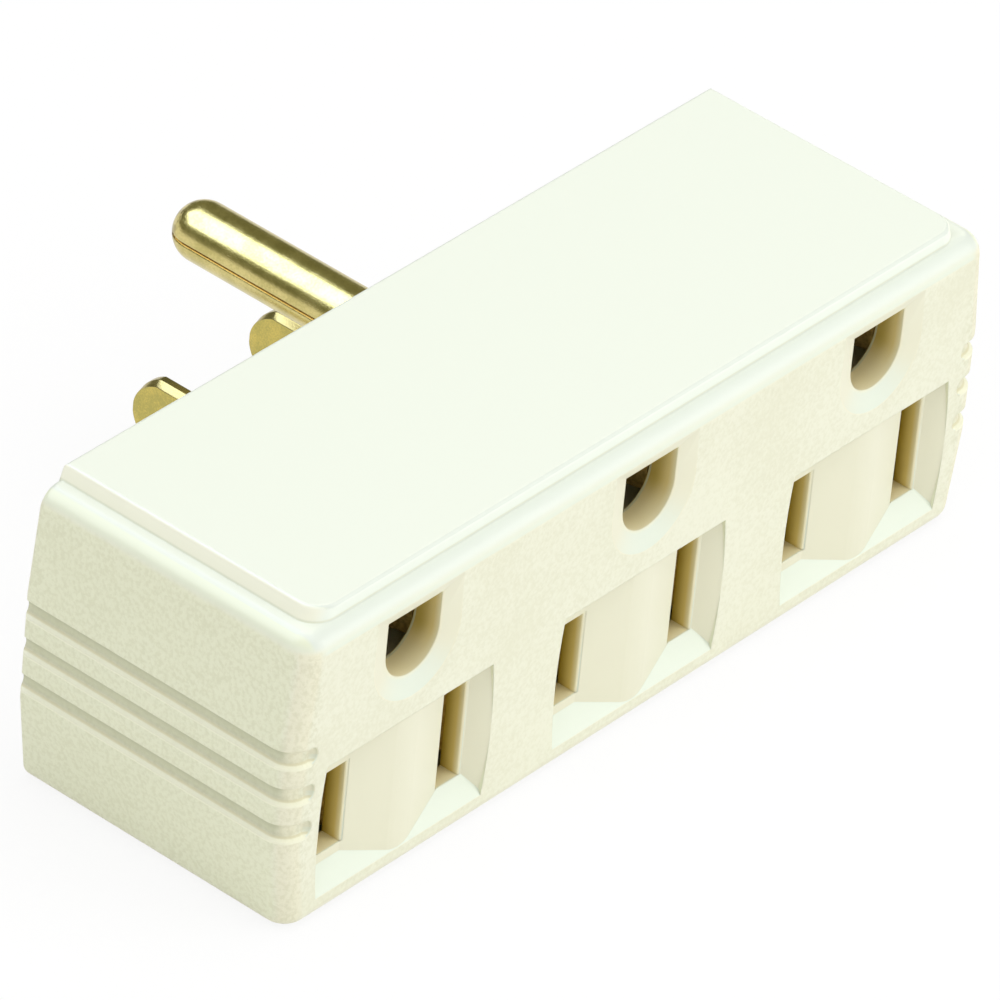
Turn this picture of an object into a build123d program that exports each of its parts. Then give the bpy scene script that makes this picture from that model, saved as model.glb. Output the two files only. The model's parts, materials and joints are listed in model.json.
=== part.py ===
from build123d import *
import math
import os

# A grounding adapter that turns one wall outlet into three.
# X runs along the row of outlets, the outlets face -Y, the plug points to +Y and Z is up.
# The origin is on the back face, midway between the two flat blades of the plug.

# Standard blade pattern, shared by the plug and by each outlet
blade_spacing = 12.7
ground_rise = 11.89
blade_thickness = 1.52
blade_width = 6.35
pin_diameter = 4.8

# Body of the housing, whose ends are upright along the grip band and lean in above and below it
body_depth = 25.4
plug_height = 8.55
band_bottom = 7.55
band_top = 16.75
upper_draft = 5.7
lower_draft = 7.8
front_corner_radius = 2.0
top_edge_radius = 1.8
bottom_edge_radius = 1.3
back_edge_radius = 0.5

# Raised top panel
panel_rise = 1.2
panel_end_inset = 1.85
panel_front_inset = 1.3
panel_back_inset = 0.15
panel_end_slope = 0.45
panel_corner_radius = 1.9
panel_edge_radius = 0.35

# Grip grooves round both ends
groove_count = 3
groove_pitch = 3.2
groove_first_height = 9.0
groove_radius = 0.8
groove_depth = 0.55

# Outlets
outlet_count = 3
outlet_pitch = 25.4
outlet_height = 7.95
slot_width = 2.3
line_slot_length = 7.0
neutral_slot_length = 8.6
recess_depth = 1.2
recess_top = 5.55
recess_bottom = 6.1
recess_half_width = 9.2
recess_side_bulge = 0.4
recess_wall_foot = 0.3
ridge_crest_depth = 0.05
ridge_soft_width = 1.15
ground_hole_radius = 2.85
ground_hole_flat = 2.8
dish_depth = 0.5
dish_side_margin = 1.75
dish_top_margin = 1.15

# Walls and ribs inside the housing
end_room = 1.35
ground_room = 1.56
side_wall = 2.4
floor_wall = 1.9
roof_wall = 1.6
front_wall = 2.9
rib_thickness = 1.2
rebate_width = 0.8
shelf_above_outlet = 6.6

# Rear cover
cover_thickness = 2.0
cover_clearance = 0.1
blade_clearance = 0.1
blade_shoulder = 1.2
hold_down_width = 2.4
hold_down_height = 2.4
hold_down_pitch = 17.0
head_pocket_clearance = 0.3

# Plug
blade_reach = 17.5
blade_tip_cut_length = 1.1
blade_tip_cut_height = 1.9
blade_tip_radius = 1.5
blade_tip_bevel = 0.45
pin_reach = 20.3
pin_wall = 0.8
pin_neck_step = 0.3
pin_relief_depth = 0.3
pin_seam = 0.25
pin_seam_angle = 180.0
pin_seam_into_nose = 1.4
foot_thickness = 0.8

# Contact strips, clips and rivets
strip_thickness = 0.7
strip_height = 3.4
strip_middle = 2.7
ground_strip_height = 4.6
strip_end_margin = 1.9
strip_corner = 0.5
clip_thickness = 0.45
clip_height = 6.4
clip_base_height = 3.2
clip_pinch = 1.1
clip_mouth = 2.7
clip_body_gap = 2.6
clip_bend_radius = 0.6
clip_mouth_clearance = 0.1
clip_flare_length = 2.0
clip_pinch_length = 5.0
ground_clip_height = 4.4
ground_clip_pinch = 4.2
ground_clip_mouth = 5.4
ground_clip_body_gap = 4.9
free_leaf_clearance = 0.9
rivet_diameter = 1.6
rivet_head_diameter = 2.4
rivet_head_height = 0.35
rivet_clearance = 0.06
rivet_offset = 3.6
ground_rivet_offset = 4.6
tab_margin = 1.35

# Places worked out from the sizes above
half_spacing = blade_spacing / 2
front_y = -body_depth
bottom_z = -plug_height
outlet_z = bottom_z + outlet_height
outlet_ground_z = outlet_z + ground_rise
ledge_z = outlet_ground_z + ground_strip_height / 2 + ground_room + roof_wall
panel_z = ledge_z + panel_rise
outlet_places = [outlet_pitch * (i - (outlet_count - 1) / 2) for i in range(outlet_count)]
clip_half_width = clip_body_gap / 2 + clip_thickness
inner_half_length = outlet_places[-1] + half_spacing + clip_half_width + end_room
ledge_half_length = inner_half_length + side_wall
half_length = ledge_half_length + math.tan(math.radians(upper_draft)) * (ledge_z - bottom_z - band_top)
bottom_half_length = half_length - math.tan(math.radians(lower_draft)) * band_bottom
inner_front_y = front_y + front_wall
mouth_y = inner_front_y + clip_mouth_clearance
inner_floor_z = bottom_z + floor_wall
inner_roof_z = ledge_z - roof_wall
shelf_z = outlet_z + shelf_above_outlet
cover_inner_y = -cover_thickness
strip_back_y = cover_inner_y - foot_thickness
strip_front_y = strip_back_y - strip_thickness
base_front_y = strip_front_y - clip_thickness
names = ["left", "middle", "right"]

# How far a cut runs past the face that it opens, and how near an edge lies to where it is looked for
over = 1.0
near = 0.01


def block(x0, x1, y0, y1, z0, z1):
    return Pos(x0, y0, z0) * Box(x1 - x0, y1 - y0, z1 - z0, align=(Align.MIN, Align.MIN, Align.MIN))


def upright_face(points):
    # A closed outline in X and Z, facing the front
    return Plane.XZ * make_face(Polyline(*points, close=True))


def edges_between(shape, low, high):
    # Edges whose middle lies inside a box, or near one of its sides
    picked = []
    for edge in shape.edges():
        p = edge @ 0.5
        if all(low[i] - near <= v <= high[i] + near for i, v in enumerate((p.X, p.Y, p.Z))):
            picked.append(edge)
    return picked


def outer_body():
    right = [(bottom_half_length, bottom_z), (half_length, bottom_z + band_bottom),
             (half_length, bottom_z + band_top), (ledge_half_length, ledge_z)]
    left = [(-x, z) for x, z in reversed(right)]
    body = extrude(upright_face(right + left), amount=body_depth)
    far = 2 * half_length
    inside = 2 * near
    corners = edges_between(body, (-far, front_y, bottom_z + inside), (far, front_y, ledge_z - inside))
    body = fillet(corners, front_corner_radius)
    top = edges_between(body, (-far, front_y, ledge_z), (far, -inside, ledge_z))
    body = fillet(top, top_edge_radius)
    bottom = edges_between(body, (-far, front_y, bottom_z), (far, -inside, bottom_z))
    body = fillet(bottom, bottom_edge_radius)
    back = edges_between(body, (-far, 0, bottom_z), (far, 0, ledge_z))
    return fillet(back, back_edge_radius)


def top_panel():
    # The panel starts inside the body, so that its front foot meets the rounded edge
    foot_z = ledge_z - top_edge_radius
    half_top = ledge_half_length - panel_end_inset - panel_end_slope
    half_foot = half_top + panel_end_slope / panel_rise * (panel_z - foot_z)
    profile = upright_face([
        (-half_foot, foot_z), (half_foot, foot_z), (half_top, panel_z), (-half_top, panel_z)])
    depth = body_depth - panel_front_inset - panel_back_inset
    panel = Pos(0, -panel_back_inset, 0) * extrude(profile, amount=depth)
    panel_y = front_y + panel_front_inset
    inside = 2 * near
    corners = edges_between(
        panel, (-half_foot, panel_y, foot_z + inside), (half_foot, panel_y, panel_z - inside))
    panel = fillet(corners, panel_corner_radius)
    rim = panel.edges().group_by(Axis.Z)[-1]
    return fillet(rim, panel_edge_radius)


def groove(height):
    # One groove round the left end, from the back to the front corner, where it ends in a round
    z = bottom_z + height
    lift = groove_radius - groove_depth
    x_end = -half_length - lift
    y_end = front_y - lift
    turn = front_corner_radius + lift
    straight = Line((x_end, over, z), (x_end, y_end + turn, z))
    corner = RadiusArc((x_end, y_end + turn, z), (x_end + turn, y_end, z), -turn)
    path = Wire([straight.edge(), corner.edge()])
    section = Plane(origin=(x_end, over, z), z_dir=(0, -1, 0)) * Circle(groove_radius)
    tip = Pos(x_end + turn, y_end, z) * Sphere(groove_radius)
    return [sweep(section, path=path), tip]


def recess(x):
    # Roof shaped floor between the slots, sloped walls outside them and a ramp down to the lip
    inner = half_spacing - slot_width / 2
    outer = half_spacing + slot_width / 2 + recess_wall_foot
    mouth = recess_half_width
    fall = (recess_depth - ridge_crest_depth) / inner
    rounding = ridge_soft_width * math.hypot(1, fall) / fall * (math.hypot(1, fall) - 1)
    crest = ridge_crest_depth - rounding
    soft = crest + fall * ridge_soft_width
    floor = [(-ridge_soft_width, soft), (-inner, recess_depth), (-outer, recess_depth), (-mouth, 0),
             (-mouth, -over), (mouth, -over), (mouth, 0), (outer, recess_depth), (inner, recess_depth),
             (ridge_soft_width, soft)]
    crown = ThreePointArc((ridge_soft_width, soft), (0, ridge_crest_depth), (-ridge_soft_width, soft))
    section = make_face([Polyline(*floor), crown])
    height = recess_top + recess_bottom
    void = extrude(Pos(0, front_y, -recess_bottom) * section, amount=height)
    corner = recess_half_width - recess_side_bulge
    middle = (recess_top - recess_bottom) / 2
    outline = make_face([
        Line((-corner, -recess_bottom), (corner, -recess_bottom)),
        ThreePointArc((corner, -recess_bottom), (recess_half_width, middle), (corner, recess_top)),
        Line((corner, recess_top), (-corner, recess_top)),
        ThreePointArc((-corner, recess_top), (-recess_half_width, middle), (-corner, -recess_bottom))])
    column = extrude(Plane.XZ * outline, amount=recess_depth + 3 * over)
    column = Pos(0, front_y + recess_depth + over, 0) * column
    slot_end = neutral_slot_length / 2
    rise = recess_bottom - slot_end
    foot_y = front_y + recess_depth
    ramp_face = make_face(Polyline(
        (front_y - over, -recess_bottom - over * rise / recess_depth), (foot_y, -slot_end),
        (foot_y + over, -slot_end), (foot_y + over, -recess_bottom - 3 * over),
        (front_y - over, -recess_bottom - 3 * over), close=True))
    ramp = extrude(Plane.YZ * ramp_face, amount=recess_half_width + over, both=True)
    return Pos(x, 0, outlet_z) * ((void & column) - ramp)


def blade_slot(x, length):
    return block(x - slot_width / 2, x + slot_width / 2, front_y - over, inner_front_y + over,
                 outlet_z - length / 2, outlet_z + length / 2)


def ground_outline(radius, flat):
    # Round at the bottom and flat on top
    return make_face([
        ThreePointArc((-radius, 0), (0, -radius), (radius, 0)),
        Polyline((radius, 0), (radius, flat), (-radius, flat), (-radius, 0))])


def ground_hole(x):
    hole = ground_outline(ground_hole_radius, ground_hole_flat)
    dish = ground_outline(ground_hole_radius + dish_side_margin, ground_hole_flat + dish_top_margin)
    at_face = Plane(origin=(x, front_y, outlet_ground_z), x_dir=(1, 0, 0), z_dir=(0, -1, 0))
    at_foot = at_face.offset(-dish_depth)
    shallow = loft([at_face * dish, at_foot * hole])
    cap = extrude(at_face * dish, amount=over)
    bore = extrude(at_face.offset(-front_wall - over) * hole, amount=front_wall + 2 * over)
    return shallow + cap + bore


def cavity():
    # One room for the flat blade contacts and one above it for the ground contacts
    room = block(-inner_half_length, inner_half_length, inner_front_y, over, inner_floor_z, inner_roof_z)
    half = rib_thickness / 2
    ribs = block(-inner_half_length, inner_half_length, inner_front_y, strip_front_y,
                 shelf_z - half, shelf_z + half)
    edges = [(a + b) / 2 for a, b in zip(outlet_places, outlet_places[1:])]
    for x in edges:
        ribs += block(x - half, x + half, inner_front_y, strip_front_y, inner_floor_z, inner_roof_z)
    for x in outlet_places:
        ribs += block(x - half, x + half, inner_front_y, strip_front_y, inner_floor_z, shelf_z)
    return room - ribs


def cover_rebate(gap):
    reach = rebate_width - gap
    return (-inner_half_length - reach, inner_half_length + reach,
            inner_floor_z - reach, inner_roof_z + reach)


def outlet_housing():
    shell = outer_body() + top_panel()
    for i in range(groove_count):
        for cut in groove(groove_first_height + i * groove_pitch):
            shell -= cut
            shell -= mirror(cut, about=Plane.YZ)
    for x in outlet_places:
        shell -= recess(x)
        shell -= blade_slot(x - half_spacing, line_slot_length)
        shell -= blade_slot(x + half_spacing, neutral_slot_length)
        shell -= ground_hole(x)
    shell -= cavity()
    x0, x1, z0, z1 = cover_rebate(0)
    shell -= block(x0, x1, cover_inner_y, over, z0, z1)
    return shell


def blade_passage(side):
    # Full size from outside down to a shoulder, then only as tall as the foot of the blade
    half = blade_thickness / 2 + blade_clearance
    tall = blade_width / 2 + blade_clearance
    x = side * half_spacing
    outside = block(x - half, x + half, -blade_shoulder, over, -tall, tall)
    low, high = foot_span(side)
    narrow = block(x - half, x + half, cover_inner_y - over, 0, low - blade_clearance, high + blade_clearance)
    return outside + narrow


def foot_span(side):
    # The foot keeps to its own strip: the line strip is the low one, the neutral strip the high one
    near = side * (strip_middle - strip_height / 2)
    far = side * blade_width / 2
    return min(near, far), max(near, far)


def rear_cover():
    x0, x1, z0, z1 = cover_rebate(cover_clearance)
    cover = block(x0, x1, cover_inner_y, 0, z0, z1)
    relief = pin_diameter / 2 + blade_clearance
    bore = relief - pin_neck_step
    at_pin = Pos(0, 0, ground_rise) * Rot(90, 0, 0)
    cover -= at_pin * Cylinder(bore, 3 * cover_thickness)
    cover -= at_pin * Cylinder(relief, 2 * pin_relief_depth)
    for side in (-1, 1):
        cover -= blade_passage(side)
    pocket = rivet_head_diameter / 2 + head_pocket_clearance
    depth = rivet_head_height + head_pocket_clearance
    for x, z in middle_rivets():
        cover -= Pos(x, cover_inner_y + depth / 2, z) * Rot(90, 0, 0) * Cylinder(pocket, depth)
    half = hold_down_width / 2
    tall = hold_down_height / 2
    for x in (-hold_down_pitch, hold_down_pitch):
        for z in (-strip_middle, strip_middle, outlet_ground_z):
            cover += block(x - half, x + half, strip_back_y, cover_inner_y, z - tall, z + tall)
    return cover


def middle_rivets():
    # The three rivets that also hold the feet of the plug
    return [(-half_spacing + rivet_offset, -strip_middle), (half_spacing - rivet_offset, strip_middle),
            (ground_rivet_offset, outlet_ground_z)]


def rivet_hole(x, z):
    radius = rivet_diameter / 2 + rivet_clearance
    length = 3 * (foot_thickness + strip_thickness + clip_thickness)
    return Pos(x, strip_front_y, z) * Rot(90, 0, 0) * Cylinder(radius, length)


def plug_blade(side):
    # A flat blade with rounded tip corners, and a foot bent over towards the middle
    x = side * half_spacing
    half = blade_thickness / 2
    tall = blade_width / 2
    cut_y = blade_reach - blade_tip_cut_length
    cut_z = tall - blade_tip_cut_height
    upper = [(-blade_shoulder, tall), (cut_y, tall), (blade_reach, cut_z)]
    lower = [(y, -z) for y, z in reversed(upper)]
    outline = make_face(Polyline(*upper, *lower, close=True))
    blade = Pos(x, 0, 0) * extrude(Plane.YZ * outline, amount=half, both=True)
    tip = edges_between(blade, (x, cut_y, -tall), (x, blade_reach, tall))
    blade = fillet(tip, blade_tip_radius)
    first_y = cut_y - blade_tip_radius
    rim = [e for e in blade.edges() if (e @ 0.5).Y > first_y and abs((e @ 0.5).X - x) > near]
    blade = chamfer(rim, blade_tip_bevel)
    low, high = foot_span(side)
    blade += block(x - half, x + half, strip_back_y, -blade_shoulder, low, high)
    end = x - side * (rivet_offset + tab_margin)
    x0, x1 = sorted((x + side * half, end))
    top = strip_middle + clip_base_height / 2
    z0, z1 = sorted((side * (strip_middle - clip_base_height / 2), side * top))
    blade += block(x0, x1, strip_back_y, cover_inner_y, z0, z1)
    return blade - rivet_hole(x - side * rivet_offset, side * strip_middle)


def ground_pin():
    # A tube folded from sheet, closed to a round nose, with its seam along the whole length.
    # Its narrower neck passes through the cover, which has a shallow relief round the pin.
    radius = pin_diameter / 2
    neck = radius - pin_neck_step
    straight = pin_reach - radius
    middle = radius * math.sqrt(0.5)
    outline = make_face([
        Polyline((0, strip_back_y), (neck, strip_back_y), (neck, 0), (radius, 0), (radius, straight)),
        ThreePointArc((radius, straight), (middle, straight + middle), (0, pin_reach)),
        Line((0, pin_reach), (0, strip_back_y))])
    pin = revolve(outline, Axis.Y)
    hollow = Rot(90, 0, 0) * Cylinder(radius - pin_wall, straight - cover_inner_y)
    pin -= Pos(0, (cover_inner_y + straight) / 2, 0) * hollow
    seam = block(-pin_seam / 2, pin_seam / 2, 0, straight + pin_seam_into_nose, 0, radius + over)
    pin -= Rot(0, 90 - pin_seam_angle, 0) * seam
    pin = Pos(0, 0, ground_rise) * pin
    tall = ground_strip_height / 2
    foot = block(0, ground_rivet_offset + tab_margin, strip_back_y, cover_inner_y,
                 outlet_ground_z - tall, outlet_ground_z + tall)
    return pin + foot - rivet_hole(ground_rivet_offset, outlet_ground_z)


def strip(rivet_places, x0, x1, middle, height):
    bar = block(x0, x1, strip_front_y, strip_back_y, middle - height / 2, middle + height / 2)
    bar = chamfer(bar.edges().filter_by(Axis.Y), strip_corner)
    for x in rivet_places:
        bar -= rivet_hole(x, middle)
    return bar


def clip_leaves(mouth, pinch, gap, mouth_y):
    # Two leaves that narrow to a pinch behind a flared mouth, joined by a base; seen from above
    half = clip_thickness / 2
    half_gap = gap / 2 + half
    pinch_y = mouth_y + clip_flare_length
    body_y = pinch_y + clip_pinch_length
    base_y = base_front_y + half
    left = [(-mouth / 2 - half, mouth_y), (-pinch / 2 - half, pinch_y),
            (-half_gap, body_y), (-half_gap, base_y)]
    right = [(-px, py) for px, py in reversed(left)]
    line = FilletPolyline(*(left + right), radius=clip_bend_radius)
    return trace(line, line_width=clip_thickness)


def spring_clip(x, side, mouth, pinch, gap, mouth_y, leaf_z, leaf_height, base_z, base_height, offset):
    # The leaves stop short of the strips, and only the base reaches its own strip
    plan = clip_leaves(mouth, pinch, gap, mouth_y)
    leaves = extrude(Pos(0, 0, leaf_z - leaf_height / 2) * plan, amount=leaf_height)
    base = extrude(Pos(0, 0, base_z - base_height / 2) * plan, amount=base_height)
    cut_y = base_front_y - free_leaf_clearance
    wide = gap / 2 + clip_thickness
    leaves -= block(-2 * wide, 2 * wide, cut_y, 0, leaf_z - leaf_height, leaf_z + leaf_height)
    base -= block(-2 * wide, 2 * wide, front_y, cut_y - 1, base_z - base_height, base_z + base_height)
    reach = side * (offset + tab_margin)
    x0, x1 = sorted((0, reach))
    tab = block(x0, x1, base_front_y, strip_front_y, base_z - base_height / 2, base_z + base_height / 2)
    clip = Pos(x, 0, 0) * (leaves + base + tab)
    return clip - rivet_hole(x + side * offset, base_z)


def flat_clip(x, side):
    # side is -1 for the line contact on the left of an outlet and 1 for the neutral on its right
    return spring_clip(x + side * half_spacing, -side, clip_mouth, clip_pinch, clip_body_gap, mouth_y,
                       outlet_z, clip_height, side * strip_middle, clip_base_height, rivet_offset)


def round_clip(x):
    return spring_clip(x, 1, ground_clip_mouth, ground_clip_pinch, ground_clip_body_gap, mouth_y,
                       outlet_ground_z, ground_clip_height, outlet_ground_z, ground_clip_height,
                       ground_rivet_offset)


def rivet(x, z, back_y):
    # A head on the clip, and one like it on the back
    length = back_y - base_front_y
    shank = Pos(x, base_front_y + length / 2, z) * Rot(90, 0, 0) * Cylinder(rivet_diameter / 2, length)
    head = Rot(90, 0, 0) * Cylinder(rivet_head_diameter / 2, rivet_head_height)
    half = rivet_head_height / 2
    return shank + Pos(x, base_front_y - half, z) * head + Pos(x, back_y + half, z) * head


def build():
    parts = {
        "outlet_housing": outlet_housing(),
        "rear_cover": rear_cover(),
        "ground_pin": ground_pin(),
        "line_blade": plug_blade(-1),
        "neutral_blade": plug_blade(1),
    }
    first, last = outlet_places[0], outlet_places[-1]
    inward = half_spacing - rivet_offset
    line_places = [x - inward for x in outlet_places]
    neutral_places = [x + inward for x in outlet_places]
    ground_places = [x + ground_rivet_offset for x in outlet_places]
    parts["line_strip"] = strip(line_places, first - half_spacing - clip_half_width,
                                line_places[-1] + strip_end_margin, -strip_middle, strip_height)
    parts["neutral_strip"] = strip(neutral_places, neutral_places[0] - strip_end_margin,
                                   last + half_spacing + clip_half_width, strip_middle, strip_height)
    parts["ground_strip"] = strip(ground_places, first - ground_clip_body_gap / 2 - clip_thickness,
                                  ground_places[-1] + strip_end_margin, outlet_ground_z, ground_strip_height)
    for i, (name, x) in enumerate(zip(names, outlet_places)):
        back_y = cover_inner_y if name == "middle" else strip_back_y
        parts[f"line_clip_{name}"] = flat_clip(x, -1)
        parts[f"neutral_clip_{name}"] = flat_clip(x, 1)
        parts[f"ground_clip_{name}"] = round_clip(x)
        parts[f"line_rivet_{name}"] = rivet(line_places[i], -strip_middle, back_y)
        parts[f"neutral_rivet_{name}"] = rivet(neutral_places[i], strip_middle, back_y)
        parts[f"ground_rivet_{name}"] = rivet(ground_places[i], outlet_ground_z, back_y)
    return parts


os.makedirs("parts", exist_ok=True)
for node, shape in build().items():
    export_step(shape, f"parts/{node}.step")
    print(node, len(shape.solids()), round(shape.volume, 2))
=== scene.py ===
import json
import math

import bpy
from mathutils import Matrix, Vector

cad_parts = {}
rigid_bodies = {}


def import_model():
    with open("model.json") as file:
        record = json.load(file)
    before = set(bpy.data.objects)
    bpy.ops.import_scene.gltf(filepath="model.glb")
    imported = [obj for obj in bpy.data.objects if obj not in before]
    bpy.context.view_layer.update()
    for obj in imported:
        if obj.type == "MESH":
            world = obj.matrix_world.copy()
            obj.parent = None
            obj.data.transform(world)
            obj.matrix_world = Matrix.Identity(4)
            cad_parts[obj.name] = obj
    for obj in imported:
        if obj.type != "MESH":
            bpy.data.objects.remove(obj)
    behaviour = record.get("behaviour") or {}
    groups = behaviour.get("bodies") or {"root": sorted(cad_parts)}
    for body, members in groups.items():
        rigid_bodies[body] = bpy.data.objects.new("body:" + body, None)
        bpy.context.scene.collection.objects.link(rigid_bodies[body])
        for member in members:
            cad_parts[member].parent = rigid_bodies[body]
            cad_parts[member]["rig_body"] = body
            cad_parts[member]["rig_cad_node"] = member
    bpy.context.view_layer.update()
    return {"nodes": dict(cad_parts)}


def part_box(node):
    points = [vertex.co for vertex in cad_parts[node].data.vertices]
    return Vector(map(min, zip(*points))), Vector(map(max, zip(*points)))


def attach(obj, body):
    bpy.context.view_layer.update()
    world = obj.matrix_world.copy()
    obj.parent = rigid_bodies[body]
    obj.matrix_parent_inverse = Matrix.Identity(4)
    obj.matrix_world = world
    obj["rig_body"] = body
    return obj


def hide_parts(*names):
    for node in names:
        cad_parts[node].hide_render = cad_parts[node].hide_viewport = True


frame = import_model()
scene = bpy.context.scene
nodes = frame["nodes"]
print("frame loaded,", len(nodes), "nodes")

mm = 0.001  # sizes below are in millimetres
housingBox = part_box("outlet_housing")
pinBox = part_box("ground_pin")
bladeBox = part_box("line_blade")

adapter = dict(
    frontY=housingBox[0].y,
    bottomZ=housingBox[0].z,
    ledgeZ=housingBox[1].z - 1.2 * mm,  # round the foot of the raised panel
    endX=housingBox[1].x,
    recessDepth=1.2 * mm,
    outletPitch=25.4 * mm,
    outletZ=-0.6 * mm,
    slotSpacing=12.7 * mm,
    slotWidth=2.3 * mm,
    leftSlot=7.0 * mm,
    rightSlot=8.6 * mm,
    grooveZ=housingBox[0].z + 9.0 * mm,  # lowest groove
    groovePitch=3.2 * mm,
    topGroove=2,  # grooves above the lowest one
)


# Modelling helpers

def deselectAll():
    if bpy.context.object and bpy.context.object.mode != "OBJECT":
        bpy.ops.object.mode_set(mode="OBJECT")
    bpy.ops.object.select_all(action="DESELECT")


def makeActive(piece):
    deselectAll()
    piece.select_set(True)
    bpy.context.view_layer.objects.active = piece


def applyModifier(piece, kind, **settings):
    makeActive(piece)
    modifier = piece.modifiers.new(kind.title(), kind)
    for key, value in settings.items():
        setattr(modifier, key, value)
    bpy.ops.object.modifier_apply(modifier=modifier.name)


def place(co):  # the same for corners that a merge would join
    return tuple(round(v / (0.004 * mm)) for v in co)


def creases(mesh):  # edges where the normals of the frame's own mesh turn
    found = {}
    normals = [corner.vector.copy() for corner in mesh.corner_normals]
    for face in mesh.polygons:
        loops = list(face.loop_indices)
        for a, b in zip(loops, loops[1:] + loops[:1]):
            ends = [(place(mesh.vertices[mesh.loops[i].vertex_index].co), normals[i]) for i in (a, b)]
            ends.sort(key=lambda end: end[0])
            found.setdefault((ends[0][0], ends[1][0]), []).append((ends[0][1], ends[1][1]))
    turned = set()
    for key, sides in found.items():
        if len(sides) == 2 and any(sides[0][i].angle(sides[1][i], 0) > math.radians(3) for i in (0, 1)):
            turned.add(key)
    return turned


def copyOfNode(name, newName):
    piece = nodes[name].copy()
    piece.data = nodes[name].data.copy()
    piece.name = newName
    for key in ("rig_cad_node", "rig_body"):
        if key in piece:
            del piece[key]
    scene.collection.objects.link(piece)
    piece.parent = None
    turned = creases(piece.data)
    makeActive(piece)
    bpy.ops.object.mode_set(mode="EDIT")
    bpy.ops.mesh.select_all(action="SELECT")
    bpy.ops.mesh.customdata_custom_splitnormals_clear()
    bpy.ops.mesh.mark_sharp(clear=True)
    bpy.ops.mesh.remove_doubles(threshold=0.002 * mm)
    bpy.ops.object.mode_set(mode="OBJECT")
    mesh = piece.data
    for edge in mesh.edges:
        ends = sorted(place(mesh.vertices[i].co) for i in edge.vertices)
        edge.use_edge_sharp = (ends[0], ends[1]) in turned
    bpy.ops.object.mode_set(mode="EDIT")
    bpy.ops.mesh.select_all(action="SELECT")
    bpy.ops.mesh.dissolve_limited(angle_limit=math.radians(0.4), delimit={"SHARP"})
    bpy.ops.object.mode_set(mode="OBJECT")
    print(newName, len(mesh.polygons), "faces,", sum(e.use_edge_sharp for e in mesh.edges), "creases")
    return piece


def selectCreases(piece, chosen):  # creases whose middle passes the test
    makeActive(piece)
    bpy.ops.object.mode_set(mode="EDIT")
    bpy.ops.mesh.select_mode(type="EDGE")
    bpy.ops.mesh.select_all(action="DESELECT")
    bpy.ops.object.mode_set(mode="OBJECT")
    mesh = piece.data
    for edge in mesh.edges:
        ends = [mesh.vertices[i].co for i in edge.vertices]
        edge.select = edge.use_edge_sharp and chosen((ends[0] + ends[1]) / 2)
    return sum(edge.select for edge in mesh.edges)


def softenEdges(piece, width, chosen):
    count = selectCreases(piece, chosen)
    bpy.ops.object.mode_set(mode="EDIT")
    bpy.ops.mesh.mark_sharp(clear=True)
    bpy.ops.mesh.bevel(offset=width, segments=3, profile=0.5, affect="EDGES",
                       clamp_overlap=True, miter_outer="ARC", loop_slide=False)
    bpy.ops.object.mode_set(mode="OBJECT")
    print(piece.name, count, "edges softened,", len(piece.data.polygons), "faces")


def drawOut(axisX, axisZ, y, nextY, growX, growZ):  # the open ring goes on to nextY and grows about its axis
    bpy.ops.mesh.extrude_region_move(TRANSFORM_OT_translate={"value": (0, nextY - y, 0)})
    bpy.ops.transform.resize(value=(growX, 1, growZ), center_override=(axisX, nextY, axisZ))


def smooth(piece):
    makeActive(piece)
    bpy.ops.object.shade_smooth(keep_sharp_edges=True)
    applyModifier(piece, "WEIGHTED_NORMAL", keep_sharp=True)


def finishPiece(piece, node, material):
    piece.data.materials.clear()
    piece.data.materials.append(material)
    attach(piece, "root")
    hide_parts(node)


# Shader maths: a socket that Python's operators work on

class Wire:
    def __init__(self, look, socket):
        self.look = look
        self.socket = socket

    def math(self, operation, *others):
        return self.look.node("ShaderNodeMath", {"operation": operation}, [self, *others])

    def __add__(self, other):
        return self.math("ADD", other)

    __radd__ = __add__

    def __sub__(self, other):
        return self.math("SUBTRACT", other)

    def __rsub__(self, other):
        return self.look.node("ShaderNodeMath", {"operation": "SUBTRACT"}, [other, self])

    def __mul__(self, other):
        return self.math("MULTIPLY", other)

    __rmul__ = __mul__

    def __truediv__(self, other):
        return self.math("DIVIDE", other)

    def size(self):  # without its sign
        return self.math("ABSOLUTE")

    def most(self, other):
        return self.math("MAXIMUM", other)

    def ramp(self, low, high):  # 0 below low, 1 above high, smooth between
        settings = {"interpolation_type": "SMOOTHSTEP"}
        return self.look.node("ShaderNodeMapRange", settings, [self, low, high, 0.0, 1.0])

    def band(self, low, full, fade, high):  # 0 outside low and high, 1 from full to fade
        return self.ramp(low, full) * (1 - self.ramp(fade, high))


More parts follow.
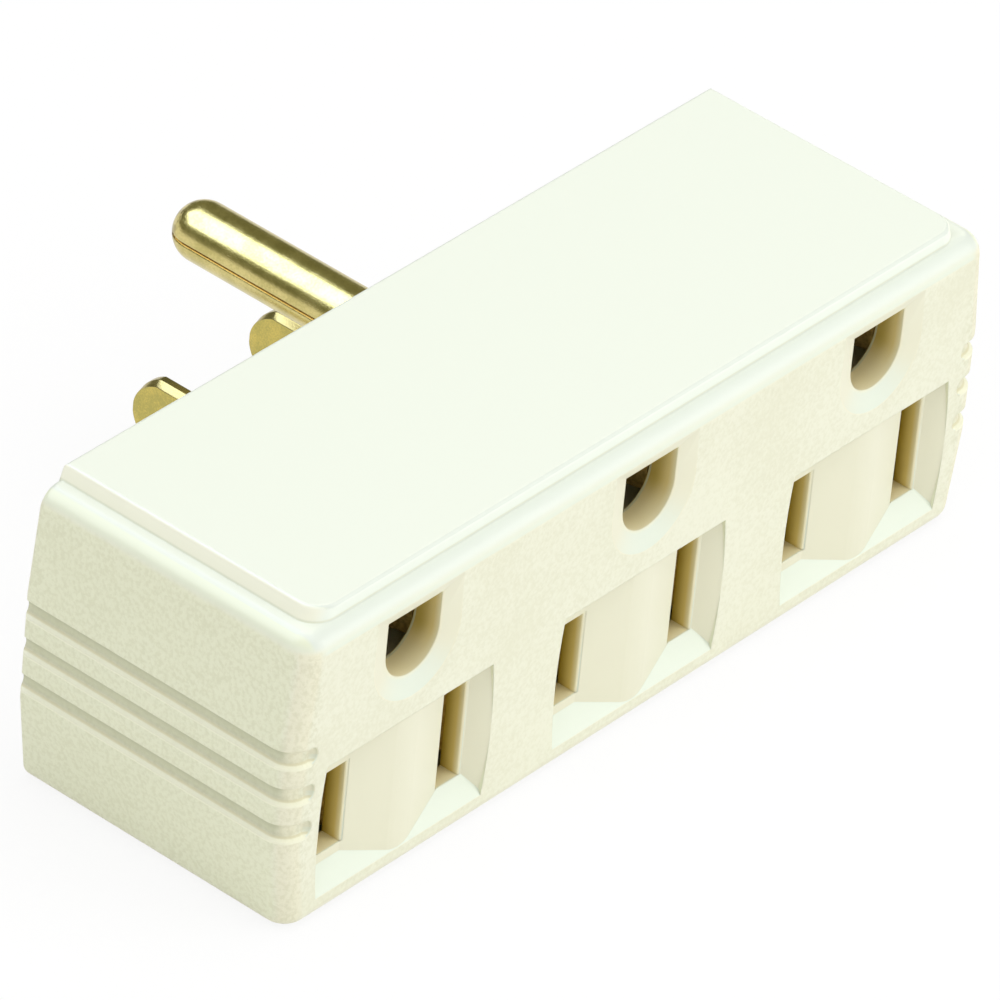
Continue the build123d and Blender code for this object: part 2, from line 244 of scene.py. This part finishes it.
class Look:  # the nodes of a material or of the world
    def __init__(self, owner, coordinates="Object"):
        owner.use_nodes = True
        self.owner = owner
        self.tree = owner.node_tree
        self.tree.nodes.clear()
        self.place = self.node("ShaderNodeTexCoord", {}, {}, coordinates)

    def node(self, kind, settings, inputs, output=0):
        made = self.tree.nodes.new(kind)
        for key, value in settings.items():
            setattr(made, key, value)
        pairs = inputs.items() if isinstance(inputs, dict) else enumerate(inputs)
        for key, value in pairs:
            if isinstance(value, Wire):
                self.tree.links.new(value.socket, made.inputs[key])
            else:
                made.inputs[key].default_value = value
        return Wire(self, made.outputs[output])

    def outputs(self, wire, keys):
        made = wire.socket.node
        return [Wire(self, made.outputs[key]) for key in keys]

    def parts(self, vector):
        return self.outputs(self.node("ShaderNodeSeparateXYZ", {}, [vector]), range(3))

    def facing(self):  # where the surface faces, in the part's own frame
        return self.parts(self.node("ShaderNodeTexCoord", {}, {}, "Normal"))

    def rays(self):
        names = ("Is Camera Ray", "Is Glossy Ray", "Is Transmission Ray")
        return self.outputs(self.node("ShaderNodeLightPath", {}, {}), names)

    def noise(self, size, detail=2.0, roughness=0.5, stretch=None):
        vector = self.place
        if stretch:
            vector = self.node("ShaderNodeMapping", {}, {"Vector": vector, "Scale": stretch})
        sockets = {"Vector": vector, "Scale": 1 / size, "Detail": detail, "Roughness": roughness}
        return self.node("ShaderNodeTexNoise", {}, sockets)

    def blend(self, factor, first, second):
        return self.node("ShaderNodeMix", {"data_type": "RGBA"}, {0: factor, 6: first, 7: second}, 2)

    def bump(self, height, distance, softness):  # over edges that are softened by this radius
        soft = self.node("ShaderNodeBevel", {"samples": 6}, {"Radius": softness})
        sockets = {"Height": height, "Distance": distance, "Normal": soft}
        return self.node("ShaderNodeBump", {}, sockets)

    def mix(self, factor, first, second):
        return self.node("ShaderNodeMixShader", {}, [factor, first, second])

    def end(self, shader, kind="ShaderNodeOutputMaterial"):
        output = self.tree.nodes.new(kind)
        self.tree.links.new(shader.socket, output.inputs["Surface"])
        return self.owner

    def surface(self, sockets):
        return self.end(self.node("ShaderNodeBsdfPrincipled", {}, sockets))


def newLook(name):
    return Look(bpy.data.materials.new(name))


# Finishes

ivory = dict(
    color=(0.785, 0.785, 0.61, 1.0),
    paler=(0.825, 0.83, 0.665, 1.0),
    # painted light: a little warmer where the surface turns partly sideways
    cornerLightTint=(0.835, 0.80, 0.60, 1.0),
    # painted light: the ends greener
    endLightTint=(0.785, 0.805, 0.585, 1.0),
    recessShadeColor=(0.785, 0.775, 0.595, 1.0),  # painted shade on the floors and walls of the recesses
    recessUpLight=(0.75, 0.82, 0.705, 1.0),  # painted light on what faces up in them
    # painted light: what faces up is paler
    upLightColor=(0.83, 0.875, 0.77, 1.0),
    grainColor=(0.50, 0.49, 0.28, 1.0),
    grainSize=0.34 * mm,
    grainDepth=0.034 * mm,
    grainRoughness=0.52,
    smoothRoughness=0.30,
    softness=0.15 * mm,
    patchSize=9 * mm,
    endWidth=(3.0 * mm, 2.0 * mm),  # where the grained end starts, inwards from its outermost line
)

ivoryTop = dict(
    # painted shade that dims the ledge and the highlight on it
    ledgeShade=(0.755, 0.80, 0.70, 1.0),
    # painted shade that dims the highlight on the rounded edges, warmer at the ends
    roundShade=(0.70, 0.75, 0.67, 1.0),
    endRoundShade=(0.76, 0.80, 0.61, 1.0),
    # painted light: the sides of the raised panel brighter and warmer
    frontSideLight=(0.865, 0.915, 0.815, 1.0),
    endSideLight=(0.93, 0.925, 0.755, 1.0),
    # painted shade in the crease at the foot of the raised panel
    footShade=(0.76, 0.78, 0.62, 1.0),
)

ivoryGrooves = dict(
    # painted highlight on the lower lip of each groove
    lipHighlight=(0.92, 0.92, 0.72, 1.0),
    # painted shade: a thin golden line between the lip and the groove's shade
    shadeLineColor=(0.70, 0.65, 0.40, 1.0),
    # painted shade in the grooves, darkest under the upper edge
    shadeColor=(0.52, 0.53, 0.365, 1.0),
)

ivorySlots = dict(
    # painted light: warm ivory where the walls of the slots and holes begin
    wallWarmLight=(0.90, 0.83, 0.54, 1.0),
    # painted shade, darker deeper in the slots and holes
    shadeColor=(0.78, 0.62, 0.20, 1.0),
    deepShade=(0.43, 0.30, 0.02, 1.0),
    rimHighlight=(0.62, 0.62, 0.42, 1.0),  # painted highlight on the inner edge of the wall in a ground hole
    dishDepth=0.45 * mm,
    groundFoot=6.5 * mm,  # ground holes start this far above the middle of the slots
    wall=3.0 * mm,
)


def paintedTopShading(look, color, x, z, sideways, facingZ):  # painted light and shade on the raised panel and the ledge round it
    top = ivoryTop
    ledgeZ, endX = adapter["ledgeZ"], adapter["endX"]
    onPanel = z.ramp(ledgeZ + 0.02 * mm, ledgeZ + 0.14 * mm)
    ledge = z.ramp(ledgeZ - 1.3 * mm, ledgeZ - 0.4 * mm) * (1 - onPanel)
    endLedge = x.size().ramp(endX - 3.2 * mm, endX - 2.2 * mm) * facingZ.ramp(0.88, 0.97)
    # Painted shade on the ledge, left off at the ends
    color = look.blend(ledge * (1 - endLedge), color, top["ledgeShade"])
    # Painted light on the sides of the raised panel
    side = look.blend(sideways.ramp(0.3, 0.8) * 0.85, top["frontSideLight"], top["endSideLight"])
    color = look.blend(onPanel * (1 - facingZ.ramp(0.55, 0.85)), color, side)
    # Painted shade over the highlight on the rounded edges
    turned = sideways.ramp(0.3, 0.5)
    rounded = facingZ.band(0.15, 0.55, 0.90, 0.99) * (onPanel * (1 - turned)).most(ledge)
    color = look.blend(rounded, color, look.blend(turned, top["roundShade"], top["endRoundShade"]))
    # Painted shade in the crease at the foot of the panel
    foot = z.band(ledgeZ - 0.02 * mm, ledgeZ + 0.01 * mm, ledgeZ + 0.10 * mm, ledgeZ + 0.22 * mm)
    return look.blend(foot * (1 - facingZ.ramp(0.90, 0.99)) * 0.6, color, top["footShade"])


def paintedGrooveShading(look, color, x, z, depth, facingY):  # painted shade under the upper edge, a painted highlight on the lip below
    endX = adapter["endX"]
    row = ((z - adapter["grooveZ"]) / adapter["groovePitch"]).most(0)
    row = row.math("MINIMUM", adapter["topGroove"]).math("ROUND")
    across = z - adapter["grooveZ"] - row * adapter["groovePitch"]
    roundCorner = x.size().ramp(endX - 3.2 * mm, endX - 3.0 * mm) * depth.ramp(0.05 * mm, 0.12 * mm)
    inGroove = x.size().ramp(endX - 2.3 * mm, endX - 2.1 * mm).most(roundCorner)
    # Painted highlight on the lip, then a thin line of painted shade
    lip = inGroove * across.band(-0.95 * mm, -0.80 * mm, -0.60 * mm, -0.44 * mm)
    color = look.blend(lip * 0.8, color, ivoryGrooves["lipHighlight"])
    line = inGroove * across.band(-0.64 * mm, -0.56 * mm, -0.50 * mm, -0.42 * mm)
    color = look.blend(line * 0.6, color, ivoryGrooves["shadeLineColor"])
    # Painted shade in the groove, left off where it turns to the front
    shade = across.band(-0.60 * mm, -0.34 * mm, 0.66 * mm, 0.76 * mm)
    shade = shade * (across.ramp(-0.2 * mm, 0.3 * mm) * 0.35 + 0.55)
    onEnd = 1 - facingY.size().ramp(0.25, 0.75)
    return look.blend(inGroove * shade * onEnd, color, ivoryGrooves["shadeColor"])


def paintedSlotShading(look, color, x, z, depth, facingZ):  # painted shade: walls turn golden with depth, less where they face up
    slots = ivorySlots
    ledgeZ, endX, bottomZ = adapter["ledgeZ"], adapter["endX"], adapter["bottomZ"]
    inner = 1 - x.size().ramp(endX - 2.6 * mm, endX - 2.4 * mm)
    inner = inner * z.band(bottomZ + 1.6 * mm, bottomZ + 1.8 * mm, ledgeZ - 1.4 * mm, ledgeZ - 1.2 * mm)
    inner = inner * (1 - depth.ramp(slots["wall"], slots["wall"] + 1 * mm))
    groundZ = adapter["outletZ"] + slots["groundFoot"]
    ground = z.ramp(groundZ - 0.1 * mm, groundZ + 0.1 * mm)
    below = depth - ((1 - ground) * adapter["recessDepth"] + ground * slots["dishDepth"])
    lit = 1 - facingZ.ramp(0.15, 0.95) * 0.78
    # Painted light where the walls begin, then painted shade with depth
    color = look.blend(inner * below.ramp(-0.04 * mm, 0.16 * mm), color, slots["wallWarmLight"])
    shade = inner * below.ramp(0.05 * mm, 0.70 * mm) * lit * (1 - ground * 0.25)
    color = look.blend(shade, color, slots["shadeColor"])
    deep = inner * below.ramp(0.45 * mm, 1.9 * mm) * lit * (1 - ground * 0.32)
    color = look.blend(deep, color, slots["deepShade"])
    # Painted highlight on the inner edge of the ground hole's wall
    rim = ground * inner * below.band(2.20 * mm, 2.28 * mm, 2.38 * mm, 2.42 * mm)
    return look.blend(rim, color, slots["rimHighlight"])


def ivoryPlastic():
    look = newLook("ivoryPlastic")
    x, y, z = look.parts(look.place)
    facingX, facingY, facingZ = look.facing()
    sideways = facingX.size()
    ledgeZ, endX = adapter["ledgeZ"], adapter["endX"]
    depth = y - adapter["frontY"]
    onTop = z.ramp(ledgeZ - 1.6 * mm, ledgeZ - 0.5 * mm)
    onFront = 1 - depth.ramp(0.01 * mm, 0.04 * mm)
    atEnd = x.size().ramp(endX - ivory["endWidth"][0], endX - ivory["endWidth"][1])
    outside = onFront.most(atEnd)
    grained = (1 - onTop) * outside
    recessed = (1 - onTop) * (1 - outside)
    fine = look.noise(ivory["grainSize"], 2.0, 0.55)
    wide = look.noise(ivory["patchSize"])
    color = look.blend((wide * 0.5 + fine * 0.5).ramp(0.36, 0.64), ivory["color"], ivory["paler"])
    # Painted light and shade: corners a little warmer, recesses darker, ends greener, and what faces up paler
    color = look.blend(sideways.band(0.05, 0.30, 0.80, 0.96) * 0.6, color, ivory["cornerLightTint"])
    color = look.blend(recessed * 0.9, color, ivory["recessShadeColor"])
    color = look.blend(sideways.ramp(0.85, 0.98) * 0.7, color, ivory["endLightTint"])
    grain = (1 - fine.ramp(0.34, 0.60)) * grained * (atEnd * 0.14 + 0.05)
    color = look.blend(grain, color, ivory["grainColor"])
    inGroove = x.size().ramp(endX - 2.3 * mm, endX - 2.1 * mm) * (1 - z.ramp(ledgeZ - 4 * mm, ledgeZ - 3 * mm))
    inside = inGroove.most(depth.ramp(1.3 * mm, 1.5 * mm) * (1 - onTop))
    # Painted light: what faces up is paler, also on the floors of the recesses
    color = look.blend(facingZ.ramp(0.30, 0.85) * (1 - inside), color, ivory["upLightColor"])
    color = look.blend(facingZ.ramp(0.08, 0.30) * recessed * (1 - inside) * 0.9, color, ivory["recessUpLight"])
    color = paintedTopShading(look, color, x, z, sideways, facingZ)
    color = paintedGrooveShading(look, color, x, z, depth, facingY)
    color = paintedSlotShading(look, color, x, z, depth, facingZ)
    height = (fine - 0.5) * (grained * (atEnd * 0.72 + 0.68) + 0.06) + (wide - 0.5) * 0.2
    rough = grained * (ivory["grainRoughness"] - ivory["smoothRoughness"]) + ivory["smoothRoughness"]
    return look.surface({
        "Base Color": color, "Roughness": rough, "IOR": 1.5,
        "Normal": look.bump(height, ivory["grainDepth"], ivory["softness"])})


brass = dict(
    color=(0.70, 0.60, 0.25, 1.0),
    darker=(0.54, 0.465, 0.17, 1.0),
    bladeColor=(0.65, 0.515, 0.135, 1.0),
    bladeDarker=(0.46, 0.40, 0.115, 1.0),
    # painted shade on what faces up on the blades, dimming their highlight
    bladeTopShade=(0.44, 0.37, 0.15, 1.0),
    foldDark=(0.13, 0.10, 0.03, 1.0),  # darker in the folds of the pin's nose
    seamColor=(0.30, 0.17, 0.03, 1.0),
    roughness=0.235,
    grainDepth=0.012 * mm,
    softness=0.12 * mm,
    pinFoot=(6 * mm, 7 * mm),  # the pin is above this, the blades below
    noseLength=(2.0 * mm, 0.9 * mm),
)


def plugBrassLook():
    look = newLook("plugBrass")
    x, y, z = look.parts(look.place)
    facingZ = look.facing()[2]
    patches = look.noise(1.6 * mm, 3.0, 0.55)
    specks = look.noise(0.16 * mm, 2.0, 0.6)
    drawn = look.noise(0.22 * mm, 2.0, 0.5, stretch=(1.0, 0.05, 1.0))
    onPin = z.ramp(*brass["pinFoot"])
    mottle = (patches * 0.55 + specks * 0.45).ramp(0.36, 0.64)
    color = look.blend(mottle, brass["darker"], brass["color"])
    blade = look.blend(mottle, brass["bladeDarker"], brass["bladeColor"])
    # Painted shade on the tops of the blades
    blade = look.blend(facingZ.ramp(0.2, 0.5), blade, brass["bladeTopShade"])
    color = look.blend(onPin, blade, color)
    seam = onPin * (1 - (z - pinTube["centerZ"]).size().ramp(0.08 * mm, 0.17 * mm))
    seam = seam * (1 - x.ramp(-1.9 * mm, -1.5 * mm))
    color = look.blend(seam, color, brass["seamColor"])
    tip = pinBox[1].y
    nose = onPin * y.ramp(tip - brass["noseLength"][0], tip - brass["noseLength"][1])
    folds = nose * look.noise(0.8 * mm, 3.0, 0.5).ramp(0.46, 0.62)
    # Darker in the folds of the nose
    color = look.blend(folds * 0.55, color, brass["foldDark"])
    rough = (patches * 0.5 + drawn * 0.5 - 0.5) * 0.25 + brass["roughness"]
    height = specks * 0.6 + drawn * 0.4 + folds * 1.6
    return look.surface({
        "Base Color": color, "Metallic": 1.0, "Roughness": rough,
        "Normal": look.bump(height, brass["grainDepth"], brass["softness"])})


contactBrass = dict(
    color=(0.42, 0.31, 0.12, 1.0),
    paler=(0.62, 0.47, 0.20, 1.0),
    roughness=0.26,
)


def contactBrassLook():
    look = newLook("contactBrass")
    specks = look.noise(0.4 * mm, 2.0, 0.6)
    color = look.blend(specks.ramp(0.3, 0.7), contactBrass["color"], contactBrass["paler"])
    rough = specks * 0.2 + contactBrass["roughness"]
    return look.surface({"Base Color": color, "Metallic": 1.0, "Roughness": rough})


# Ground pin: a tube folded from sheet, with its seam rolled in along one side

pinTube = dict(
    radius=2.4 * mm,
    neckRadius=2.1 * mm,
    centerZ=11.89 * mm,
    around=192,
    noseRings=18,
    seamStart=0.02 * mm,
    seamEndsBeforeTip=0.9 * mm,
    seamSteps=((0, 0.26 * mm), (1, 0.10 * mm), (2, 0.02 * mm)),  # column beside the seam, how far it goes in
)


def rollSeam(pin, tip, column, inward):  # one column of the tube's corners goes towards its axis
    size = pinTube
    columnTurn = 2 * math.pi / size["around"]
    turn = column * columnTurn
    bpy.ops.object.mode_set(mode="EDIT")
    bpy.ops.mesh.select_mode(type="VERT")
    bpy.ops.mesh.select_all(action="DESELECT")
    bpy.ops.object.mode_set(mode="OBJECT")
    for vertex in pin.data.vertices:
        x, y, z = vertex.co
        alongSeam = size["seamStart"] < y < tip - size["seamEndsBeforeTip"]
        if x < -0.1 * mm and alongSeam:
            vertex.select = abs(math.atan2(z - size["centerZ"], -x) - turn) < 0.2 * columnTurn
    bpy.ops.object.mode_set(mode="EDIT")
    bpy.ops.transform.translate(value=Vector((math.cos(turn), 0, -math.sin(turn))) * inward)
    bpy.ops.object.mode_set(mode="OBJECT")


def groundPinTube():
    size = pinTube
    deselectAll()
    start = pinBox[0].y
    tip = pinBox[1].y
    straight = tip - size["radius"]
    bpy.ops.mesh.primitive_circle_add(vertices=size["around"], radius=size["neckRadius"],
                                      location=(0, start, size["centerZ"]), rotation=(math.radians(90), 0, 0))
    pin = bpy.context.object
    pin.name = "groundPinTube"
    bpy.ops.object.transform_apply(location=True, rotation=True, scale=True)
    bpy.ops.object.mode_set(mode="EDIT")
    bpy.ops.mesh.select_mode(type="EDGE")
    bpy.ops.mesh.select_all(action="SELECT")
    rings = [(-0.02 * mm, size["neckRadius"]), (0.0, size["radius"] - 0.02 * mm), (0.04 * mm, size["radius"])]
    rings += [(straight * i / 8, size["radius"]) for i in range(1, 9)]
    for i in range(1, size["noseRings"]):
        angle = math.radians(90 * i / size["noseRings"])
        rings.append((straight + size["radius"] * math.sin(angle), size["radius"] * math.cos(angle)))
    y, radius = start, size["neckRadius"]
    for nextY, nextRadius in rings:
        drawOut(0, size["centerZ"], y, nextY, nextRadius / radius, nextRadius / radius)
        y, radius = nextY, nextRadius
    bpy.ops.mesh.extrude_region_move(TRANSFORM_OT_translate={"value": (0, tip - y, 0)})
    bpy.ops.mesh.merge(type="CENTER")
    bpy.ops.object.mode_set(mode="OBJECT")
    for column, inward in size["seamSteps"]:
        for side in ((-1, 1) if column else (1,)):
            rollSeam(pin, tip, column * side, inward)
    bpy.ops.object.mode_set(mode="EDIT")
    bpy.ops.mesh.select_all(action="SELECT")
    bpy.ops.mesh.remove_doubles(threshold=0.001 * mm)
    bpy.ops.mesh.normals_make_consistent(inside=False)
    bpy.ops.object.mode_set(mode="OBJECT")
    bpy.ops.object.shade_smooth_by_angle(angle=math.radians(50))
    print("ground pin:", len(pin.data.polygons), "faces")
    return pin


ivoryMaterial = ivoryPlastic()
plugBrassMaterial = plugBrassLook()
contactBrassMaterial = contactBrassLook()
print("finishes made")


# Carried over nodes

for name, node in nodes.items():
    if name in ("outlet_housing", "rear_cover"):
        material = ivoryMaterial
    elif name in ("ground_pin", "line_blade", "neutral_blade"):
        material = plugBrassMaterial
    else:
        material = contactBrassMaterial
    node.data.materials.clear()
    node.data.materials.append(material)


# Housing: a softened copy of the moulding

moulding = dict(
    grooveSoft=0.09 * mm,
    panelSoft=0.20 * mm,
    coverSoft=0.15 * mm,
    mouthSoft=0.26 * mm,
    mouthSteps=4,
    mouthInset=0.02 * mm,  # keeps the cutters just inside the walls of the slots
)


def mouthCutter(x, bottomZ, height):  # flares out round the mouth of a slot, but not at its bottom
    soft, inset = moulding["mouthSoft"], moulding["mouthInset"]
    floorY = adapter["frontY"] + adapter["recessDepth"]
    width = adapter["slotWidth"] - 2 * inset
    height -= 2 * inset
    bottomZ += inset
    deselectAll()
    bpy.ops.mesh.primitive_plane_add(size=1, location=(x, floorY + soft, bottomZ + height / 2),
                                     rotation=(math.radians(90), 0, 0))
    cutter = bpy.context.object
    cutter.scale = (width, height, 1)
    bpy.ops.object.transform_apply(location=True, rotation=True, scale=True)
    bpy.ops.object.mode_set(mode="EDIT")
    bpy.ops.mesh.select_all(action="SELECT")
    rings = []
    for i in range(1, moulding["mouthSteps"] + 1):
        turn = math.radians(90) * i / moulding["mouthSteps"]
        rings.append((floorY + soft * (1 - math.sin(turn)), soft * (1 - math.cos(turn))))
    rings.append((floorY - 0.15 * mm, soft + 0.01 * mm))
    y, wide, tall = floorY + soft, width, height
    for nextY, flare in rings:
        nextWide, nextTall = width + 2 * flare, height + flare
        drawOut(x, bottomZ, y, nextY, nextWide / wide, nextTall / tall)
        y, wide, tall = nextY, nextWide, nextTall
    bpy.ops.mesh.select_all(action="SELECT")
    bpy.ops.mesh.normals_make_consistent(inside=False)
    bpy.ops.object.mode_set(mode="OBJECT")
    return cutter


def softenMouths(shell):
    cutters = []
    for i in (-1, 0, 1):
        for side, length in ((-1, adapter["leftSlot"]), (1, adapter["rightSlot"])):
            x = i * adapter["outletPitch"] + side * adapter["slotSpacing"] / 2
            cutters.append(mouthCutter(x, adapter["outletZ"] - length / 2, length))
    deselectAll()
    for cutter in cutters:
        cutter.select_set(True)
    bpy.context.view_layer.objects.active = cutters[0]
    bpy.ops.object.join()
    joined = bpy.context.object
    applyModifier(shell, "BOOLEAN", operation="DIFFERENCE", solver="EXACT", object=joined)
    bpy.data.objects.remove(joined)
    print("slot mouths softened,", len(shell.data.polygons), "faces")


def outletHousingShell():
    shell = copyOfNode("outlet_housing", "outletHousingShell")
    ledgeZ = adapter["ledgeZ"]

    def atGrooves(p):
        return abs(p.x) > adapter["endX"] - 3.2 * mm and adapter["bottomZ"] + 7 * mm < p.z < ledgeZ - 6 * mm

    def panelFoot(p):
        return p.z > ledgeZ - 1.9 * mm

    softenEdges(shell, moulding["grooveSoft"], atGrooves)
    softenEdges(shell, moulding["panelSoft"], panelFoot)
    softenMouths(shell)
    smooth(shell)
    finishPiece(shell, "outlet_housing", ivoryMaterial)


def rearCoverPlate():
    plate = copyOfNode("rear_cover", "rearCoverPlate")
    softenEdges(plate, moulding["coverSoft"], lambda p: p.y > -0.25 * mm)
    smooth(plate)
    finishPiece(plate, "rear_cover", ivoryMaterial)


# Blades of the plug

blades = dict(
    tipStart=14.6 * mm,
    tipRadius=3.45 * mm,
    tipFlat=math.radians(7),  # half of the arc that is left flat at the very tip
    tipRings=14,
    softness=0.10 * mm,
)


def roundTip(piece):  # the tip is cut off and drawn out again as an arc
    tall, tip, radius = bladeBox[1].z, bladeBox[1].y, blades["tipRadius"]
    across = [v.co.x for v in piece.data.vertices if v.co.y > 5 * mm]
    x = sum(across) / len(across)
    makeActive(piece)
    bpy.ops.object.mode_set(mode="EDIT")
    bpy.ops.mesh.select_mode(type="EDGE")
    bpy.ops.mesh.select_all(action="SELECT")
    bpy.ops.mesh.bisect(plane_co=(0, blades["tipStart"], 0), plane_no=(0, 1, 0), clear_outer=True)
    first = math.asin(tall / radius)
    y, half = blades["tipStart"], tall
    for i in range(blades["tipRings"]):
        turn = first + (blades["tipFlat"] - first) * i / (blades["tipRings"] - 1)
        nextY, nextHalf = tip - radius + radius * math.cos(turn), radius * math.sin(turn)
        drawOut(x, 0, y, nextY, 1, nextHalf / half)
        y, half = nextY, nextHalf
    bpy.ops.mesh.edge_face_add()
    bpy.ops.mesh.select_all(action="SELECT")
    bpy.ops.mesh.normals_make_consistent(inside=False)
    bpy.ops.mesh.select_all(action="DESELECT")
    bpy.ops.mesh.edges_select_sharp(sharpness=math.radians(30))
    bpy.ops.mesh.mark_sharp()
    bpy.ops.object.mode_set(mode="OBJECT")


def plugBlade(node, newName):
    blade = copyOfNode(node, newName)
    roundTip(blade)
    softenEdges(blade, blades["softness"], lambda p: p.y > 0.5 * mm)
    smooth(blade)
    finishPiece(blade, node, plugBrassMaterial)


outletHousingShell()
plugBlade("line_blade", "lineBladeShape")
plugBlade("neutral_blade", "neutralBladeShape")
rearCoverPlate()
finishPiece(groundPinTube(), "ground_pin", plugBrassMaterial)


# Studio

studio = dict(
    cameraPlace=(-534.43 * mm, -424.94 * mm, 491.18 * mm),
    azimuth=52.284,
    elevation=35.815,
    roll=5.80,
    lens=416.6,
    sensor=36.0,
    floorSize=6.0,
    floorColor=(0.9, 0.9, 0.9, 1.0),
    floorWhite=0.86,  # share of plain white that the camera sees, over the shadow
    white=(1.0, 1.0, 1.0, 1.0),
    ceiling=(0.20, 0.20, 0.11, 1.0),  # darker overhead, for the gloss only
    horizon=(-0.05, 0.02),
    ambient=0.66,
)


def placeCamera():
    data = bpy.data.cameras.new("studioCamera")
    data.lens = studio["lens"]
    data.sensor_width = studio["sensor"]
    data.clip_end = 20
    camera = bpy.data.objects.new("studioCamera", data)
    scene.collection.objects.link(camera)
    turn = Matrix.Rotation(-math.radians(studio["azimuth"]), 4, "Z")
    tip = Matrix.Rotation(math.radians(90 - studio["elevation"]), 4, "X")
    roll = Matrix.Rotation(math.radians(studio["roll"]), 4, "Z")
    camera.matrix_world = Matrix.Translation(studio["cameraPlace"]) @ turn @ tip @ roll
    scene.camera = camera


def floorLook():
    look = newLook("studioFloor")
    camera, glossy, transmission = look.rays()
    plain = look.node("ShaderNodeBsdfDiffuse", {}, {"Color": studio["floorColor"]})
    white = look.node("ShaderNodeEmission", {}, {"Color": studio["white"], "Strength": 1.0})
    shown = look.mix(studio["floorWhite"], plain, white)
    return look.end(look.mix(camera.most(glossy).most(transmission), plain, shown))


def placeFloor():
    deselectAll()
    bpy.ops.mesh.primitive_plane_add(size=studio["floorSize"], location=(0, 0, adapter["bottomZ"] - 0.02 * mm))
    floor = bpy.context.object
    floor.name = "studioFloor"
    floor.data.materials.append(floorLook())


def placeWorld():
    look = Look(bpy.data.worlds.new("studioWorld"), "Generated")
    camera, glossy, transmission = look.rays()
    height = look.parts(look.place)[2]
    overhead = look.blend(height.ramp(*studio["horizon"]), studio["white"], studio["ceiling"])
    soft = look.node("ShaderNodeBackground", {}, {"Color": studio["white"], "Strength": studio["ambient"]})
    gloss = look.node("ShaderNodeBackground", {}, {"Color": overhead, "Strength": 1.0})
    white = look.node("ShaderNodeBackground", {}, {"Color": studio["white"], "Strength": 1.0})
    light = look.mix(glossy, soft, gloss)
    scene.world = look.end(look.mix(camera.most(transmission), light, white), "ShaderNodeOutputWorld")


def placeLamp(name, place, size, power, color=(1, 1, 1)):
    data = bpy.data.lights.new(name, "AREA")
    data.shape = "SQUARE"
    data.size = size
    data.energy = power
    data.color = color
    lamp = bpy.data.objects.new(name, data)
    scene.collection.objects.link(lamp)
    lamp.location = place
    lamp.rotation_euler = (-Vector(place)).to_track_quat("-Z", "Y").to_euler()
    return lamp


placeCamera()
placeFloor()
placeWorld()
placeLamp("topSoftbox", (0.1, -0.1, 0.8), 0.6, 2.55)
placeLamp("frontSoftbox", (0.55, -0.75, 0.40), 0.6, 2.85, (1.0, 0.985, 0.97))
placeLamp("endSoftbox", (-0.65, -0.12, 0.55), 0.5, 0.85)
glossCard = placeLamp("glossCard", (-0.20, 0.39, 0.65), 0.72, 6.8, (0.72, 0.80, 1.0))
glossCard.visible_diffuse = False  # it only draws the highlight on the brass
scene.view_settings.view_transform = "Standard"
print("studio set")
